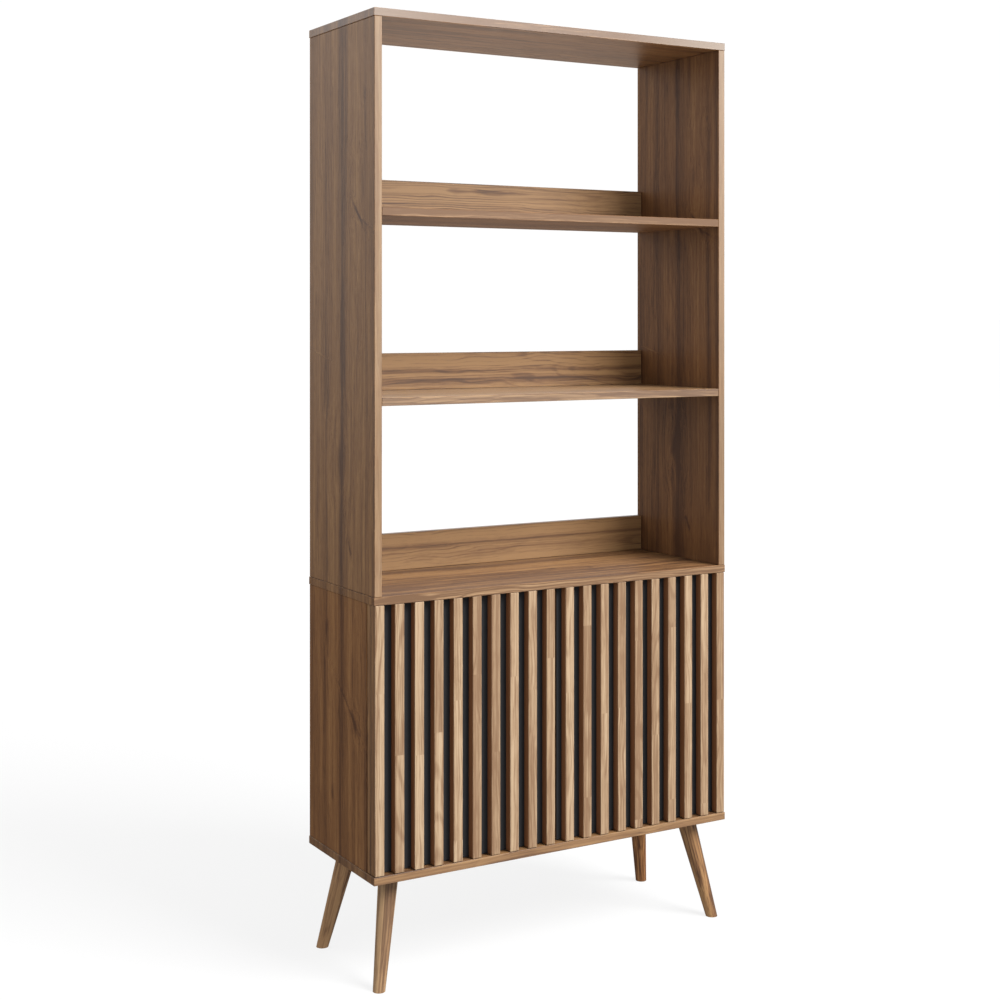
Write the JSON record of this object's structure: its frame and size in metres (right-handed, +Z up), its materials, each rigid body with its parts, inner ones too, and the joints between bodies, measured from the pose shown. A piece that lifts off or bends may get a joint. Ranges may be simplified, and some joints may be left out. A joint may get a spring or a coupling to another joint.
{
  "type": "bookcase",
  "caption": "Tall open bookcase over a cabinet with slatted double doors on concealed hinges, standing on round splayed legs.",
  "frame": {"origin": "on the floor, under the middle of the carcass", "axes": "+X to the right as seen from the front, +Y to the back, +Z up; the doors face -Y"},
  "size_m": [0.8, 0.29, 1.794],
  "materials": {
    "walnut": "satin walnut laminate",
    "slat_wood": "satin oiled, finger-jointed strips",
    "leg_wood": "satin lacquer",
    "black_board": "matt black coated board",
    "steel": "nickelled steel"
  },
  "bodies": {
    "cabinet": {"cabinet_bottom": "walnut", "cabinet_top": "walnut", "cabinet_side_left": "walnut", "cabinet_side_right": "walnut", "cabinet_back": "walnut", "inner_shelf": "walnut", "upper_side_left": "walnut", "upper_side_right": "walnut", "upper_top": "walnut", "upper_shelf_low": "walnut", "upper_shelf_high": "walnut", "back_rail_low": "walnut", "back_rail_middle": "walnut", "back_rail_high": "walnut", "leg_front_left": "leg_wood", "leg_front_right": "leg_wood", "leg_back_left": "leg_wood", "leg_back_right": "leg_wood", "leg_plate_front_left": "steel", "leg_plate_front_right": "steel", "leg_plate_back_left": "steel", "leg_plate_back_right": "steel", "hinge_arm_lower_left": "steel", "hinge_arm_upper_left": "steel", "hinge_arm_lower_right": "steel", "hinge_arm_upper_right": "steel"},
    "left_door": {"door_board_left": "black_board", "slat_left_01": "slat_wood", "slat_left_02": "slat_wood", "slat_left_03": "slat_wood", "slat_left_04": "slat_wood", "slat_left_05": "slat_wood", "slat_left_06": "slat_wood", "slat_left_07": "slat_wood", "slat_left_08": "slat_wood", "slat_left_09": "slat_wood", "slat_left_10": "slat_wood", "hinge_cup_lower_left": "steel", "hinge_cup_upper_left": "steel"},
    "right_door": {"door_board_right": "black_board", "slat_right_01": "slat_wood", "slat_right_02": "slat_wood", "slat_right_03": "slat_wood", "slat_right_04": "slat_wood", "slat_right_05": "slat_wood", "slat_right_06": "slat_wood", "slat_right_07": "slat_wood", "slat_right_08": "slat_wood", "slat_right_09": "slat_wood", "slat_right_10": "slat_wood", "hinge_cup_lower_right": "steel", "hinge_cup_upper_right": "steel"},
    "left_links": {"hinge_link_lower_left": "steel", "hinge_link_upper_left": "steel"},
    "right_links": {"hinge_link_lower_right": "steel", "hinge_link_upper_right": "steel"},
    "left_rear_links": {"hinge_rear_link_lower_left": "steel", "hinge_rear_link_upper_left": "steel"},
    "right_rear_links": {"hinge_rear_link_lower_right": "steel", "hinge_rear_link_upper_right": "steel"}
  },
  "joints": [
    {"name": "left_door_hinge", "type": "hinge", "parent": "left_links", "child": "left_door", "pos_m": [-0.39, -0.1159, 0.46175], "axis": [0, 0, -1], "range_deg": [0, 119.7]},
    {"name": "left_link_turn", "type": "hinge", "parent": "cabinet", "child": "left_links", "pos_m": [-0.3697, -0.0937, 0.46175], "axis": [0, 0, -1], "range_deg": [-24.8, 0]},
    {"name": "left_rear_link_turn", "type": "hinge", "parent": "left_door", "child": "left_rear_links", "pos_m": [-0.3879, -0.1214, 0.46175], "axis": [0, 0, -1], "range_deg": [-108, 0]},
    {"name": "right_door_hinge", "type": "hinge", "parent": "right_links", "child": "right_door", "pos_m": [0.39, -0.1159, 0.46175], "axis": [0, 0, 1], "range_deg": [0, 119.7]},
    {"name": "right_link_turn", "type": "hinge", "parent": "cabinet", "child": "right_links", "pos_m": [0.3697, -0.0937, 0.46175], "axis": [0, 0, 1], "range_deg": [-24.8, 0]},
    {"name": "right_rear_link_turn", "type": "hinge", "parent": "right_door", "child": "right_rear_links", "pos_m": [0.3879, -0.1214, 0.46175], "axis": [0, 0, 1], "range_deg": [-108, 0]}
  ],
  "couplings": [
    {"joint": "left_link_turn", "follows": "left_door_hinge", "ratio": -0.20635},
    {"joint": "left_rear_link_turn", "follows": "left_door_hinge", "ratio": -0.90159},
    {"joint": "right_link_turn", "follows": "right_door_hinge", "ratio": -0.20635},
    {"joint": "right_rear_link_turn", "follows": "right_door_hinge", "ratio": -0.90159}
  ]
}
